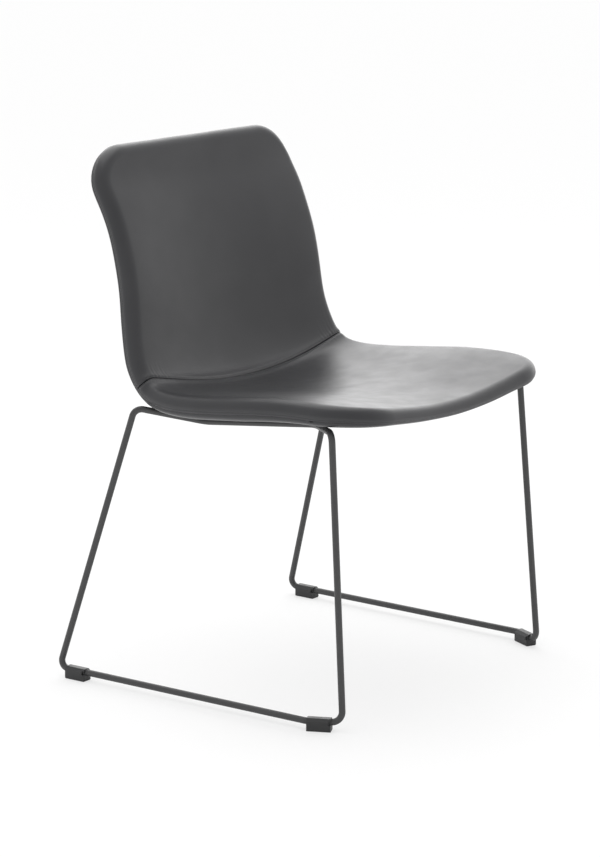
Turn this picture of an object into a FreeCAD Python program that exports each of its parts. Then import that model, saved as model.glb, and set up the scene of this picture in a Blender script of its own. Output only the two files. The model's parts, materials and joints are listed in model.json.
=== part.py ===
import FreeCAD, Part
import math
import os
import Sketcher
from FreeCAD import Placement, Rotation, Vector

# Visitor chair: one S-curved upholstered shell on a sled base of bent round rod.
# Frame of the part: +Z up, the sitter faces -Y, X across the chair, floor at Z = 0.

DOC = FreeCAD.newDocument("sled_base_visitor_chair")

# alias, value in millimetres, what it is
SIZES = [
    ("shift_y", 13.5, "moves the measured profile so that the footprint is centred"),
    ("rod_dia", 10.0, "solid steel rod of the sled"),
    ("runner_z", 13.6, "height of the runners' centre line"),
    ("rear_top_x", 259.8, "rear leg, upper corner"),
    ("rear_top_y", 133.6, "rear leg, upper corner"),
    ("rear_top_z", 433.5, "rear leg, upper corner"),
    ("rear_low_x", 299.0, "rear leg, lower corner"),
    ("rear_low_y", 259.0, "rear leg, lower corner"),
    ("knee_x", 290.0, "runner, where it turns inwards"),
    ("knee_y", -209.5, "runner, where it turns inwards"),
    ("front_low_x", 266.0, "front leg, lower corner"),
    ("front_low_y", -259.0, "front leg, lower corner"),
    ("front_top_x", 252.0, "front leg, upper corner"),
    ("front_top_y", -228.0, "front leg, upper corner"),
    ("front_top_z", 439.0, "front leg, upper corner"),
    ("turn_x", 225.0, "rail, where it turns down along the shell"),
    ("turn_y", 80.3, "rail, where it turns down along the shell"),
    ("turn_z", 421.6, "rail, where it turns down along the shell"),
    ("rail_rear_x", 205.0, "rail under the seat, rear corner"),
    ("rail_rear_y", 40.1, "rail under the seat, rear corner"),
    ("rail_rear_z", 414.6, "rail under the seat, rear corner"),
    ("rail_front_x", 200.0, "rail under the seat, front corner"),
    ("rail_front_y", -160.5, "rail under the seat, front corner"),
    ("rail_front_z", 435.0, "rail under the seat, front corner"),
    ("rear_bar_y", 24.0, "rear cross bar"),
    ("front_bar_y", -113.5, "front cross bar"),
    ("bar_flat", 115.0, "half length of a cross bar's level part"),
    ("bend_top", 15.0, "bend radius of the rod at the leg tops"),
    ("bend_rear", 12.0, "bend radius at the rear floor corner"),
    ("bend_front", 16.0, "bend radius at the front floor corner"),
    ("bend_knee", 10.0, "bend radius of the runner's knee"),
    ("bend_rail", 40.0, "bend radius along the rails"),
    ("bend_bar", 25.0, "bend radius of the cross bars"),
    ("shell_half", 17.0, "half of the upholstered shell's thickness"),
    ("front_corner", 88.0, "corner radius of the seat's front edge"),
    ("top_corner", 68.0, "corner radius of the back's top edge"),
    ("edge_round", 16.0, "rounding of the padded edge"),
    ("rim_seam", 8.0, "rim seam, below the shell's middle surface"),
    ("under_flat", 0.8, "how far the seat's underside stays level next to its sides"),
    ("flat_last", 370.0, "where the underside's level sides begin to fade towards the back"),
    ("flat_fade", 120.0, "length over which they fade"),
    ("leather", 2.0, "leather with its lining"),
    ("core_top", 5.0, "moulded core's inner face, below the middle surface"),
    ("core_low", 14.7, "moulded core's outer face, below the middle surface"),
    ("panel_seam", 398.0, "distance of the seam between seat and back from the front edge"),
    ("mount_x", 90.0, "mounting screws, from the middle"),
    ("mount_reach", 18.0, "mounting screw to cross bar"),
    ("tab_wide", 24.0, "mounting tab, width"),
    ("tab_long", 38.0, "mounting tab, length"),
    ("tab_thick", 3.0, "mounting tab, thickness"),
    ("tab_nose", 11.0, "mounting tab, screw to free end"),
    ("tab_corner", 4.0, "mounting tab, corner radius"),
    ("weld_bite", 0.25, "depth of the welded seat of a tab on its cross bar"),
    ("pad_dia", 20.0, "rubber pad between tab and shell"),
    ("pad_thick", 3.0, "rubber pad, thickness at its middle"),
    ("screw_dia", 6.0, "M6 screw"),
    ("screw_long", 16.0, "M6 screw, length under the head"),
    ("screw_head", 10.5, "button head diameter"),
    ("head_high", 3.3, "button head height"),
    ("hex_key", 4.0, "hexagon socket across flats"),
    ("hex_deep", 2.0, "hexagon socket depth"),
    ("clear_dia", 6.6, "clearance hole for the M6 screw"),
    ("washer_dia", 12.0, "washer"),
    ("washer_thick", 1.6, "washer"),
    ("nut_dia", 8.0, "tee nut, barrel"),
    ("nut_long", 8.0, "tee nut, barrel length"),
    ("nut_flange", 18.0, "tee nut, flange"),
    ("flange_thick", 1.2, "tee nut, flange thickness"),
    ("nut_sink", 1.4, "tee nut flange, let into the core"),
    ("glide_long", 36.0, "clip-on floor glide, length"),
    ("glide_wide", 18.5, "clip-on floor glide, width"),
    ("glide_high", 19.4, "clip-on floor glide, height"),
    ("glide_bevel", 4.5, "bevel along the glide's upper edges"),
    ("glide_edge", 1.2, "bevel along the glide's lower edges"),
    ("glide_rear_y", 223.0, "middle of the rear glides"),
    ("glide_front_run", 20.5, "knee to the middle of the front glides"),
    ("pocket_wide", 5.0, "moulding pocket in the glide's inner end"),
    ("pocket_high", 6.0, "moulding pocket in the glide's inner end"),
    ("pocket_deep", 3.0, "moulding pocket in the glide's inner end"),
    ("fit_gap", 0.4, "gap kept between the shell's curved layers"),
]

# Middle line of the shell's edge, from the seat's front edge to the back's top edge:
# y, z, half width to the outside, depth of the hollow across the middle on the sitter's
# side, and of the belly on the outside, and how much thicker than its half the outer
# side is.
STATIONS = [
    (-287.0, 460.6, 266.0, 24.0, 18.0, 0.70),
    (-250.0, 461.6, 266.0, 24.0, 18.0, 0.84),
    (-194.0, 462.8, 267.0, 24.0, 19.0, 0.97),
    (-133.0, 461.9, 269.0, 24.0, 20.0, 1.06),
    (-68.0, 456.5, 270.0, 24.0, 21.0, 1.12),
    (-2.6, 450.0, 270.0, 23.0, 22.0, 1.12),
    (45.0, 447.0, 268.0, 22.0, 22.0, 1.10),
    (80.0, 447.6, 262.0, 22.0, 22.0, 1.07),
    (104.0, 451.8, 257.0, 22.0, 22.0, 1.04),
    (124.0, 462.5, 254.5, 22.0, 22.0, 1.00),
    (140.0, 482.0, 253.0, 22.0, 22.5, 1.00),
    (152.0, 511.0, 250.0, 23.0, 23.0, 1.00),
    (161.0, 552.0, 246.0, 24.0, 24.0, 1.00),
    (167.0, 598.6, 243.0, 24.0, 24.0, 1.00),
    (174.5, 640.0, 241.5, 22.0, 22.0, 1.00),
    (187.5, 684.0, 239.5, 19.0, 19.0, 1.00),
    (206.5, 728.0, 238.5, 14.0, 14.0, 1.00),
    (226.0, 766.0, 238.0, 8.0, 8.0, 1.00),
    (234.0, 799.0, 238.0, 4.0, 4.0, 1.00),
    (237.0, 816.0, 238.0, 3.0, 3.0, 1.00),
]
STATION_WORDS = ("y", "z", "wide", "hollow", "belly", "swell")


def make_sheet():
    """Put every driving dimension in the spreadsheet as a plain number with an alias."""
    sheet = DOC.addObject("Spreadsheet::Sheet", "Sizes")
    row = 0
    for alias, value, note in SIZES:
        row += 1
        sheet.set("A%d" % row, note)
        sheet.set("B%d" % row, str(value))
        sheet.setAlias("B%d" % row, alias)
    for number, station in enumerate(STATIONS, 1):
        for word, value in zip(STATION_WORDS, station):
            row += 1
            alias = "st%02d_%s" % (number, word)
            sheet.set("A%d" % row, "shell station %d, %s" % (number, word))
            sheet.set("B%d" % row, str(value))
            sheet.setAlias("B%d" % row, alias)
    DOC.recompute()
    return sheet


SHEET = make_sheet()


def size(alias):
    """One driving dimension, read back from the sheet."""
    return float(getattr(SHEET, alias))


SHIFT = size("shift_y")
ROD = size("rod_dia") / 2


def feature(label, shape):
    """A free-form sub-part whose shape is set directly."""
    obj = DOC.addObject("Part::Feature", label)
    obj.Label = label
    obj.Shape = shape
    obj.Placement = shape.Placement
    return obj


# The shell's surface.

def interpolate(points, knots):
    """Smooth curve through the points at the given parameters."""
    curve = Part.BSplineCurve()
    curve.interpolate(Points=points, Parameters=knots)
    return curve


def read_stations():
    """Curves of the shell's edge and of its two faces over the distance from the front."""
    rows = []
    for number in range(1, len(STATIONS) + 1):
        rows.append([size("st%02d_%s" % (number, word)) for word in STATION_WORDS])
    knots = [0.0]
    for low, high in zip(rows, rows[1:]):
        knots.append(knots[-1] + math.hypot(high[0] - low[0], high[1] - low[1]))
    line = interpolate([Vector(0, row[0] + SHIFT, row[1]) for row in rows], knots)
    form = interpolate([Vector(row[2], row[3], knot) for row, knot in zip(rows, knots)], knots)
    under = interpolate([Vector(row[4], row[5], knot) for row, knot in zip(rows, knots)], knots)
    return line, form, under, knots[-1]


LINE, FORM, UNDER, REACH = read_stations()
HALF = size("shell_half")
ROUND = size("edge_round")
FLAT = HALF - ROUND


def station_frame(run):
    """Point, direction and inward normal of the edge's middle line."""
    run = min(max(run, 0.0), REACH)
    point = LINE.value(run)
    along = LINE.tangent(run)[0]
    along.normalize()
    return point, along, Vector(0, -along.z, along.y)


def rise(run, height):
    """Height above the middle surface, with the outer side made thicker or thinner."""
    if height >= 0:
        return height
    return height * UNDER.value(min(max(run, 0.0), REACH)).y


def level_side(run):
    """How level the underside stays next to its sides: full under the seat, none behind."""
    step = min(max((run - size("flat_last")) / size("flat_fade"), 0.0), 1.0)
    return size("under_flat") * (1 - step * step * (3 - 2 * step))


def sag(run, x, height):
    """How far the shell hangs below its edge at this distance from the middle."""
    run = min(max(run, 0.0), REACH)
    form = FORM.value(run)
    belly = UNDER.value(run).x
    outside = (HALF - height) / (2 * HALF)
    depth = form.y + (belly - form.y) * outside
    square = (x / (form.x - ROUND)) ** 2
    return depth * max(1 - square, 0.0) * (1 - level_side(run) * outside * square)


def drawn_in(run, radius):
    """How far an outline with a round corner has drawn in at this distance from its end."""
    if run >= radius:
        return 0.0
    rest = radius - max(run, 0.0)
    return radius - math.sqrt(max(radius * radius - rest * rest, 0.0))


def side(height, inset):
    """Draw-in of the round edge at this height, for a layer set in from the outside."""
    beyond = max(abs(height) - FLAT, 0.0)
    radius = ROUND - inset
    return ROUND - math.sqrt(max(radius * radius - beyond * beyond, 0.0))


def section(run, low, high, inset):
    """Closed outline of one layer across the shell, of lines and short arcs."""
    point, along, normal = station_frame(run)
    wide = FORM.value(min(max(run, 0.0), REACH)).x
    front = run - inset
    back = REACH - inset - run
    wide -= drawn_in(front, size("front_corner") - inset)
    wide -= drawn_in(back, size("top_corner") - inset)
    radius = ROUND - inset
    reach = radius - drawn_in(min(front, back), radius)
    high = min(high, FLAT + reach)
    low = max(low, -FLAT - reach)
    third = (high - low) / 3
    upper = min(max(FLAT, low + third), high - third / 2)
    lower = max(min(-FLAT, high - third), low + third / 2)

    def at(hand, x, height):
        lift = rise(run, height) - sag(run, x, height)
        return point + Vector(hand * x, 0, 0) + normal * lift

    def rim(hand, height):
        return at(hand, wide - side(height, inset), height)

    def across(height, hand):
        start = rim(-hand, height)
        end = rim(hand, height)
        reach = abs(end.x)
        shares = (-0.86, -0.66, -0.4, -0.14, 0.14, 0.4, 0.66, 0.86)
        inner = [at(hand, share * reach, height) for share in shares]
        return interpolate([start] + inner + [end], [-1.0] + list(shares) + [1.0])

    def down(hand, top, base):
        if abs(side(top, inset) - side(base, inset)) < 1e-4:
            return Part.LineSegment(rim(hand, top), rim(hand, base))
        return Part.Arc(rim(hand, top), rim(hand, (top + base) / 2), rim(hand, base))

    edges = [
        across(high, 1),
        down(1, high, upper), down(1, upper, lower), down(1, lower, low),
        across(low, -1),
        down(-1, low, lower), down(-1, lower, upper), down(-1, upper, high),
    ]
    return Part.Wire([edge.toShape() for edge in edges])


END_RUNS = (0.3, 1.4, 3.5, 7.0, 12.0, 19.0, 29.0, 43.0, 62.0, 84.0)
MAIN_STEP = 30.0


def layer(low, high, inset, start=0.0):
    """Solid of one layer of the whole shell, lofted through its sections."""
    ends = [inset + start + run for run in END_RUNS]
    runs = ends + [REACH - end for end in ends]
    first = ends[-1]
    last = REACH - ends[-1]
    count = int(round((last - first) / MAIN_STEP))
    runs += [first + (last - first) * i / count for i in range(1, count)]
    wires = [section(run, low, high, inset) for run in sorted(runs)]
    return Part.makeLoft(wires, True, False)


def part_at_seam(shape):
    """Seat side and back side of a layer, parted at the seam between the two panels."""
    point, along, normal = station_frame(size("panel_seam"))
    turn = Rotation(Vector(1, 0, 0), along, normal, "ZXY")
    gap = size("fit_gap") / 2
    halves = []
    for low in (gap - 800.0, gap):
        block = Part.makeBox(800, 800 - 2 * gap, 1600, Vector(-400, low, -800))
        block.Placement = Placement(point, turn)
        halves.append(shape.common(block))
    return halves


# Where the shell is held.

def belly(run, x):
    """Point on the outside of the shell, at this distance from the front edge."""
    point, along, normal = station_frame(run)
    return point + normal * (rise(run, -HALF) - sag(run, x, -HALF)), along, normal


def bar_centre(run, end):
    """Centre of the cross bar that a tab screwed at this station sits on."""
    point, along, normal = belly(run, size("mount_x"))
    stack = size("pad_thick") + size("tab_thick") + ROD - size("weld_bite")
    return point - normal * stack + along * (end * size("mount_reach"))


def find_mount(target_y, low, high, end):
    """Station whose tab brings the cross bar to the legs' y."""
    for step in range(60):
        middle = (low + high) / 2
        if bar_centre(middle, end).y < target_y:
            low = middle
        else:
            high = middle
    return (low + high) / 2


FRONT_BAR_Y = size("front_bar_y") + SHIFT
REAR_BAR_Y = size("rear_bar_y") + SHIFT
FRONT_RUN = find_mount(FRONT_BAR_Y, 60.0, 280.0, -1)
REAR_RUN = find_mount(REAR_BAR_Y, 220.0, 400.0, 1)
FRONT_BAR_Z = bar_centre(FRONT_RUN, -1).z
REAR_BAR_Z = bar_centre(REAR_RUN, 1).z


def mount_places():
    """Name and placement of each of the four mounts; +Y there points to the cross bar."""
    places = []
    for name, run, end in (("front", FRONT_RUN, -1), ("rear", REAR_RUN, 1)):
        for hand, sign in (("left", 1), ("right", -1)):
            point, along, normal = belly(run, size("mount_x"))
            point.x = sign * size("mount_x")
            turn = Rotation(Vector(end, 0, 0), along * end, normal, "ZXY")
            places.append(("%s_%s" % (name, hand), Placement(point, turn)))
    return places


MOUNTS = mount_places()


def cylinder(radius, low, high, place):
    """Round bar along a mount's axis, from low to high above the shell's outside."""
    shape = Part.makeCylinder(radius, high - low, Vector(0, 0, low))
    shape.Placement = place
    return shape


# The shell's layers.

def make_shell():
    """Core, foam and leather of the shell, each layer clear of the next."""
    skin = size("leather")
    gap = size("fit_gap")
    rim = -size("rim_seam")
    inner = skin + gap

    core = layer(-size("core_low"), -size("core_top"), inner, 3.0)
    foam = layer(gap - size("core_top"), HALF - inner, inner)
    seat_foam, back_foam = part_at_seam(foam)

    cavity = layer(rim - 5.0, HALF - skin, skin)
    front_skin = layer(rim, HALF, 0.0).cut(cavity)
    seat_skin, back_skin = part_at_seam(front_skin)
    tray = layer(-HALF, rim - gap, 0.0, 2.2)
    well = layer(skin - HALF, 3.0, skin)
    outer_skin = tray.cut(well)

    bore = size("nut_dia") / 2 + 0.05
    flange = size("nut_flange") / 2 + 0.3
    seat_plane = HALF - size("core_top") - size("nut_sink")
    for name, place in MOUNTS:
        core = core.cut(cylinder(bore, -5, 30, place))
        core = core.cut(cylinder(flange, seat_plane, 30, place))
        outer_skin = outer_skin.cut(cylinder(bore, -5, 8, place))
        seat_foam = seat_foam.cut(cylinder(flange, 0, seat_plane + size("flange_thick") + 1.2, place))

    feature("shell_core", core)
    feature("seat_foam", seat_foam)
    feature("back_foam", back_foam)
    feature("seat_cover", seat_skin)
    feature("back_cover", back_skin)
    feature("outer_cover", outer_skin)
    return tray


# The sled base.

def bent_rod(points, radii):
    """Round rod along straight runs joined by bends."""
    edges = []
    start = points[0]
    for before, corner, after, radius in zip(points, points[1:], points[2:], radii):
        into = (before - corner).normalize()
        out = (after - corner).normalize()
        half_turn = into.getAngle(out) / 2
        reach = radius / math.tan(half_turn)
        first = corner + into * reach
        last = corner + out * reach
        middle_way = (into + out).normalize()
        middle = corner + middle_way * (radius / math.sin(half_turn) - radius)
        edges.append(Part.LineSegment(start, first).toShape())
        edges.append(Part.Arc(first, middle, last).toShape())
        start = last
    edges.append(Part.LineSegment(start, points[-1]).toShape())
    path = Part.Wire(edges)
    ring = Part.makeCircle(ROD, points[0], points[1] - points[0])
    return path.makePipeShell([Part.Wire([ring])], True, False)


def corner_of(name, hand, low=None):
    """A named corner of the sled's line, on this hand's side."""
    z = size("runner_z") if low else size(name + "_z")
    return Vector(hand * size(name + "_x"), size(name + "_y") + SHIFT, z)


def rail_point(y, hand):
    """Point of the rail's straight run under the seat at this y."""
    rear = corner_of("rail_rear", hand)
    front = corner_of("rail_front", hand)
    return rear + (front - rear) * ((rear.y - y) / (rear.y - front.y))


def make_sled_rod(label, hand):
    """One closed side of the sled, bent from rod and welded: rail, leg, runner, leg."""
    weld = rail_point(0.0, hand)
    rear_low = corner_of("rear_low", hand, True)
    knee = corner_of("knee", hand, True)
    middle = (rear_low + knee) / 2
    front_half = [weld, corner_of("rail_front", hand), corner_of("front_top", hand),
                  corner_of("front_low", hand, True), knee, middle]
    rear_half = [middle, rear_low, corner_of("rear_top", hand), corner_of("turn", hand),
                 corner_of("rail_rear", hand), weld]
    front_bends = [size(name) for name in ("bend_rail", "bend_top", "bend_front", "bend_knee")]
    rear_bends = [size(name) for name in ("bend_rear", "bend_top", "bend_rail", "bend_rail")]
    loop = bent_rod(front_half, front_bends).fuse(bent_rod(rear_half, rear_bends))
    feature(label, loop.removeSplitter())
    return loop


def make_sled_rods():
    """Left and right sides of the sled; gives their solids."""
    return [make_sled_rod("sled_rod_left", 1), make_sled_rod("sled_rod_right", -1)]


def origin_plane(body, role):
    """One of a body's own origin planes."""
    for item in body.Origin.OriginFeatures:
        if item.Role == role:
            return item
    raise ValueError(role)


def new_sketch(body, name, role, offset=0.0):
    """Sketch on one of the body's origin planes, moved along its normal."""
    sketch = body.newObject("Sketcher::SketchObject", name)
    sketch.AttachmentSupport = (origin_plane(body, role), [""])
    sketch.MapMode = "FlatFace"
    sketch.AttachmentOffset = Placement(Vector(0, 0, offset), Rotation())
    return sketch


def add_circle(sketch, x, y, diameter):
    """Circle whose diameter follows a cell; its centre is fixed by plain distances."""
    index = sketch.addGeometry(Part.Circle(Vector(x, y, 0), Vector(0, 0, 1), 1.0), False)
    sketch.addConstraint(Sketcher.Constraint("DistanceX", -1, 1, index, 3, x))
    sketch.addConstraint(Sketcher.Constraint("DistanceY", -1, 1, index, 3, y))
    bound = sketch.addConstraint(Sketcher.Constraint("Diameter", index, 2.0))
    sketch.setExpression("Constraints[%d]" % bound, diameter)
    return index


def add_rectangle(sketch, left, low, wide, high):
    """Rectangle whose lower left corner and two sides follow expressions."""
    corners = [Vector(0, 0, 0), Vector(10, 0, 0), Vector(10, 10, 0), Vector(0, 10, 0)]
    first = sketch.GeometryCount
    for number in range(4):
        line = Part.LineSegment(corners[number], corners[(number + 1) % 4])
        sketch.addGeometry(line, False)
    for number in range(4):
        following = first + (number + 1) % 4
        sketch.addConstraint(Sketcher.Constraint("Coincident", first + number, 2, following, 1))
    sketch.addConstraint(Sketcher.Constraint("Horizontal", first))
    sketch.addConstraint(Sketcher.Constraint("Vertical", first + 1))
    sketch.addConstraint(Sketcher.Constraint("Horizontal", first + 2))
    sketch.addConstraint(Sketcher.Constraint("Vertical", first + 3))
    bounds = [
        (Sketcher.Constraint("DistanceX", -1, 1, first, 1, 0.0), left),
        (Sketcher.Constraint("DistanceY", -1, 1, first, 1, 0.0), low),
        (Sketcher.Constraint("DistanceX", first, 1, first, 2, 10.0), wide),
        (Sketcher.Constraint("DistanceY", first + 1, 1, first + 1, 2, 10.0), high),
    ]
    for constraint, expression in bounds:
        index = sketch.addConstraint(constraint)
        sketch.setExpression("Constraints[%d]" % index, expression)


def new_body(label):
    """Empty body with its label."""
    body = DOC.addObject("PartDesign::Body", label)
    body.Label = label
    return body


def pad(body, sketch, length, both_ways=False):
    """Pad a sketch by a length from the sheet."""
    item = body.newObject("PartDesign::Pad", body.Name + "_pad")
    item.Profile = sketch
    item.setExpression("Length", length)
    item.Midplane = both_ways
    DOC.recompute()
    return item


def pocket(body, sketch, length, through=False, turned=False):
    """Pocket a sketch and make sure that it took material away."""
    before = body.Shape.Volume
    item = body.newObject("PartDesign::Pocket", body.Name + "_pocket")
    item.Profile = sketch
    if through:
        item.Type = "ThroughAll"
        item.Midplane = True
    else:
        item.setExpression("Length", length)
        item.Reversed = turned
    DOC.recompute()
    if body.Shape.Volume > before - 0.01:
        raise ValueError("pocket cuts nothing: " + body.Label)
    return item


def dress(body, kind, name, names, prop, expression):
    """Fillet or chamfer on named edges of the body's last feature."""
    base = body.Tip
    item = body.newObject("PartDesign::" + kind, name)
    item.Base = (base, names)
    item.setExpression(prop, expression)
    body.Tip = item
    DOC.recompute()
    return item


def edges_along(shape, direction, keep):
    """Names of the straight edges along a direction that pass a test on their middle."""
    names = []
    for number, edge in enumerate(shape.Edges, 1):
        if edge.Curve.TypeId != "Part::GeomLine":
            continue
        run = edge.Vertexes[1].Point - edge.Vertexes[0].Point
        if abs(abs(run.normalize().dot(direction)) - 1) < 1e-6 and keep(edge.CenterOfMass):
            names.append("Edge%d" % number)
    return names


def make_cross_bars(sides):
    """Rods between the two rails, bent down to pass under the shell's belly."""
    for label, y, z in (("front_cross_bar", FRONT_BAR_Y, FRONT_BAR_Z),
                        ("rear_cross_bar", REAR_BAR_Y, REAR_BAR_Z)):
        flat = size("bar_flat")
        route = [rail_point(y, -1), Vector(-flat, y, z), Vector(flat, y, z), rail_point(y, 1)]
        bar = bent_rod(route, [size("bend_bar")] * 2)
        for rod in sides:
            bar = bar.cut(rod)
        feature(label, bar)


# Mounts under the shell.

def make_tab(name, place):
    """Flat steel tab, welded on the cross bar, with the hole for one shell screw."""
    body = new_body("tab_plate_" + name)
    sketch = new_sketch(body, "tab_outline_" + name, "XY_Plane")
    add_rectangle(sketch, "-Sizes.tab_wide / 2", "-Sizes.tab_nose",
                  "Sizes.tab_wide", "Sizes.tab_long")
    pad(body, sketch, "Sizes.tab_thick")
    hole = new_sketch(body, "tab_hole_" + name, "XY_Plane")
    add_circle(hole, 0.0, 0.0, "Sizes.clear_dia")
    pocket(body, hole, "", True)
    names = edges_along(body.Shape, Vector(0, 0, 1), lambda point: True)
    dress(body, "Fillet", "tab_round_" + name, names, "Radius", "Sizes.tab_corner")
    down = -size("pad_thick") - size("tab_thick")
    seat = place.multiply(Placement(Vector(0, 0, down), Rotation()))
    body.Placement = seat
    bar = DOC.addObject("Part::Cylinder", "bar_seat_" + name)
    bar.setExpression("Radius", "Sizes.rod_dia / 2")
    bar.setExpression("Height", "Sizes.tab_wide * 2")
    rise = size("weld_bite") - ROD
    lying = Placement(Vector(-size("tab_wide"), size("mount_reach"), rise),
                      Rotation(Vector(0, 1, 0), 90))
    bar.Placement = seat.multiply(lying)
    cut = DOC.addObject("Part::Cut", "mount_tab_" + name)
    cut.Base = body
    cut.Tool = bar
    cut.Label = "mount_tab_" + name


def make_rubber_pad(name, place, outside):
    """Round rubber pad between tab and shell, with its upper side shaped to the shell."""
    blank = cylinder(size("pad_dia") / 2, -size("pad_thick"), 2.5, place)
    blank = blank.cut(cylinder(size("clear_dia") / 2, -20, 20, place))
    feature("rubber_pad_" + name, blank.cut(outside))


def make_screw():
    """Button head screw with a hexagon socket, head downwards, threaded end up."""
    body = new_body("screw_master")
    shank = new_sketch(body, "shank_round", "XY_Plane")
    add_circle(shank, 0.0, 0.0, "Sizes.screw_dia")
    pad(body, shank, "Sizes.screw_long")
    head = new_sketch(body, "head_round", "XY_Plane")
    add_circle(head, 0.0, 0.0, "Sizes.screw_head")
    lower = body.newObject("PartDesign::Pad", "head_pad")
    lower.Profile = head
    lower.setExpression("Length", "Sizes.head_high")
    lower.Reversed = True
    DOC.recompute()
    rims = [("Edge%d" % number) for number, edge in enumerate(body.Shape.Edges, 1)
            if abs(edge.CenterOfMass.z + size("head_high")) < 1e-6 and edge.Closed]
    dress(body, "Fillet", "head_dome", rims, "Radius", "Sizes.head_high * 0.6")
    hexagon = new_sketch(body, "socket_hexagon", "XY_Plane", -size("head_high"))
    across = size("hex_key") / math.sqrt(3)
    corners = [Vector(across * math.cos(math.pi * k / 3), across * math.sin(math.pi * k / 3), 0)
               for k in range(6)]
    for number in range(6):
        line = Part.LineSegment(corners[number], corners[(number + 1) % 6])
        hexagon.addGeometry(line, False)
    for number in range(6):
        following = (number + 1) % 6
        hexagon.addConstraint(Sketcher.Constraint("Coincident", number, 2, following, 1))
    pocket(body, hexagon, "Sizes.hex_deep", False, True)
    return body


def make_washer():
    """Flat washer under the screw head."""
    disc = DOC.addObject("Part::Cylinder", "washer_disc")
    disc.setExpression("Radius", "Sizes.washer_dia / 2")
    disc.setExpression("Height", "Sizes.washer_thick")
    hole = DOC.addObject("Part::Cylinder", "washer_hole")
    hole.setExpression("Radius", "Sizes.clear_dia / 2")
    hole.setExpression("Height", "Sizes.washer_thick")
    ring = DOC.addObject("Part::Cut", "washer_master")
    ring.Base = disc
    ring.Tool = hole
    DOC.recompute()
    return ring


def make_tee_nut():
    """Tee nut: flange let into the core from the foam side, barrel through the core."""
    body = new_body("tee_nut_master")
    flange = new_sketch(body, "nut_flange_round", "XY_Plane")
    add_circle(flange, 0.0, 0.0, "Sizes.nut_flange")
    pad(body, flange, "Sizes.flange_thick")
    barrel = new_sketch(body, "nut_barrel_round", "XY_Plane")
    add_circle(barrel, 0.0, 0.0, "Sizes.nut_dia")
    lower = body.newObject("PartDesign::Pad", "nut_barrel_pad")
    lower.Profile = barrel
    lower.setExpression("Length", "Sizes.nut_long")
    lower.Reversed = True
    DOC.recompute()
    bore = new_sketch(body, "nut_bore_round", "XY_Plane")
    add_circle(bore, 0.0, 0.0, "Sizes.screw_dia + 0.1")
    pocket(body, bore, "", True)
    return body


def make_fasteners():
    """The four identical screws, washers and tee nuts, each kind in one node."""
    under_tab = -size("pad_thick") - size("tab_thick")
    seat_plane = HALF - size("core_top") - size("nut_sink")
    kinds = [
        ("shell_screws", make_screw(), under_tab - size("washer_thick")),
        ("shell_washers", make_washer(), under_tab - size("washer_thick")),
        ("tee_nuts", make_tee_nut(), seat_plane),
    ]
    for label, master, height in kinds:
        copies = []
        for name, place in MOUNTS:
            copy = master.Shape.copy()
            copy.Placement = place.multiply(Placement(Vector(0, 0, height), Rotation()))
            copies.append(copy)
        feature(label, Part.makeCompound(copies))


# Floor glides.

def make_glide(label, place):
    """Moulded glide clipped round the runner: beveled block with a bore for the rod."""
    body = new_body(label)
    block = new_sketch(body, label + "_block", "YZ_Plane")
    add_rectangle(block, "-Sizes.glide_wide / 2", "0", "Sizes.glide_wide", "Sizes.glide_high")
    pad(body, block, "Sizes.glide_long", True)
    along = Vector(1, 0, 0)
    high = size("glide_high")
    names = edges_along(body.Shape, along, lambda point: point.z > high - 0.1)
    dress(body, "Chamfer", label + "_upper", names, "Size", "Sizes.glide_bevel")
    names = edges_along(body.Shape, along, lambda point: point.z < 0.1)
    dress(body, "Chamfer", label + "_lower", names, "Size", "Sizes.glide_edge")
    bore = new_sketch(body, label + "_bore", "YZ_Plane")
    add_circle(bore, 0.0, size("runner_z"), "Sizes.rod_dia")
    pocket(body, bore, "", True)
    recess = new_sketch(body, label + "_recess", "YZ_Plane", size("glide_long") / 2)
    add_rectangle(recess, "-Sizes.glide_wide / 2", "Sizes.runner_z - Sizes.pocket_high / 2",
                  "Sizes.pocket_wide * 0.5", "Sizes.pocket_high")
    pocket(body, recess, "Sizes.pocket_deep")
    body.Placement = place


def make_glides():
    """Four glides: the rear pair in line with the runners, the front pair past the knee."""
    rear = Vector(size("rear_low_x"), size("rear_low_y") + SHIFT, 0)
    knee = Vector(size("knee_x"), size("knee_y") + SHIFT, 0)
    front = Vector(size("front_low_x"), size("front_low_y") + SHIFT, 0)
    run = (knee - rear).normalize()
    back = (size("glide_rear_y") + SHIFT - rear.y) / run.y
    turned = (front - knee).normalize()
    spots = [
        ("rear", rear + run * back, run),
        ("front", knee + turned * size("glide_front_run"), turned),
    ]
    for end, spot, way in spots:
        for hand, sign in (("left", 1), ("right", -1)):
            turn = Rotation(Vector(0, 0, 1), math.degrees(math.atan2(way.y, sign * way.x)))
            place = Placement(Vector(sign * spot.x, spot.y, 0), turn)
            make_glide("glide_%s_%s" % (end, hand), place)


# Build and write.

NODES = [
    "shell_core", "seat_foam", "back_foam", "seat_cover", "back_cover", "outer_cover",
    "sled_rod_left", "sled_rod_right", "front_cross_bar", "rear_cross_bar",
    "mount_tab_front_left", "mount_tab_front_right",
    "mount_tab_rear_left", "mount_tab_rear_right",
    "rubber_pad_front_left", "rubber_pad_front_right",
    "rubber_pad_rear_left", "rubber_pad_rear_right",
    "shell_screws", "shell_washers", "tee_nuts",
    "glide_front_left", "glide_front_right", "glide_rear_left", "glide_rear_right",
]


def by_label(label):
    """The object that carries this label."""
    return DOC.getObjectsByLabel(label)[0]


def check_document():
    """Stop on any failed object and on any sub-part without a sound shape."""
    DOC.recompute()
    for obj in DOC.Objects:
        if "Invalid" in obj.State or "Error" in obj.State:
            raise ValueError("failed: %s %s" % (obj.Label, obj.State))
    for label in NODES:
        shape = by_label(label).Shape
        if shape.isNull() or not shape.isValid() or not shape.Solids:
            raise ValueError("bad shape: " + label)


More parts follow.
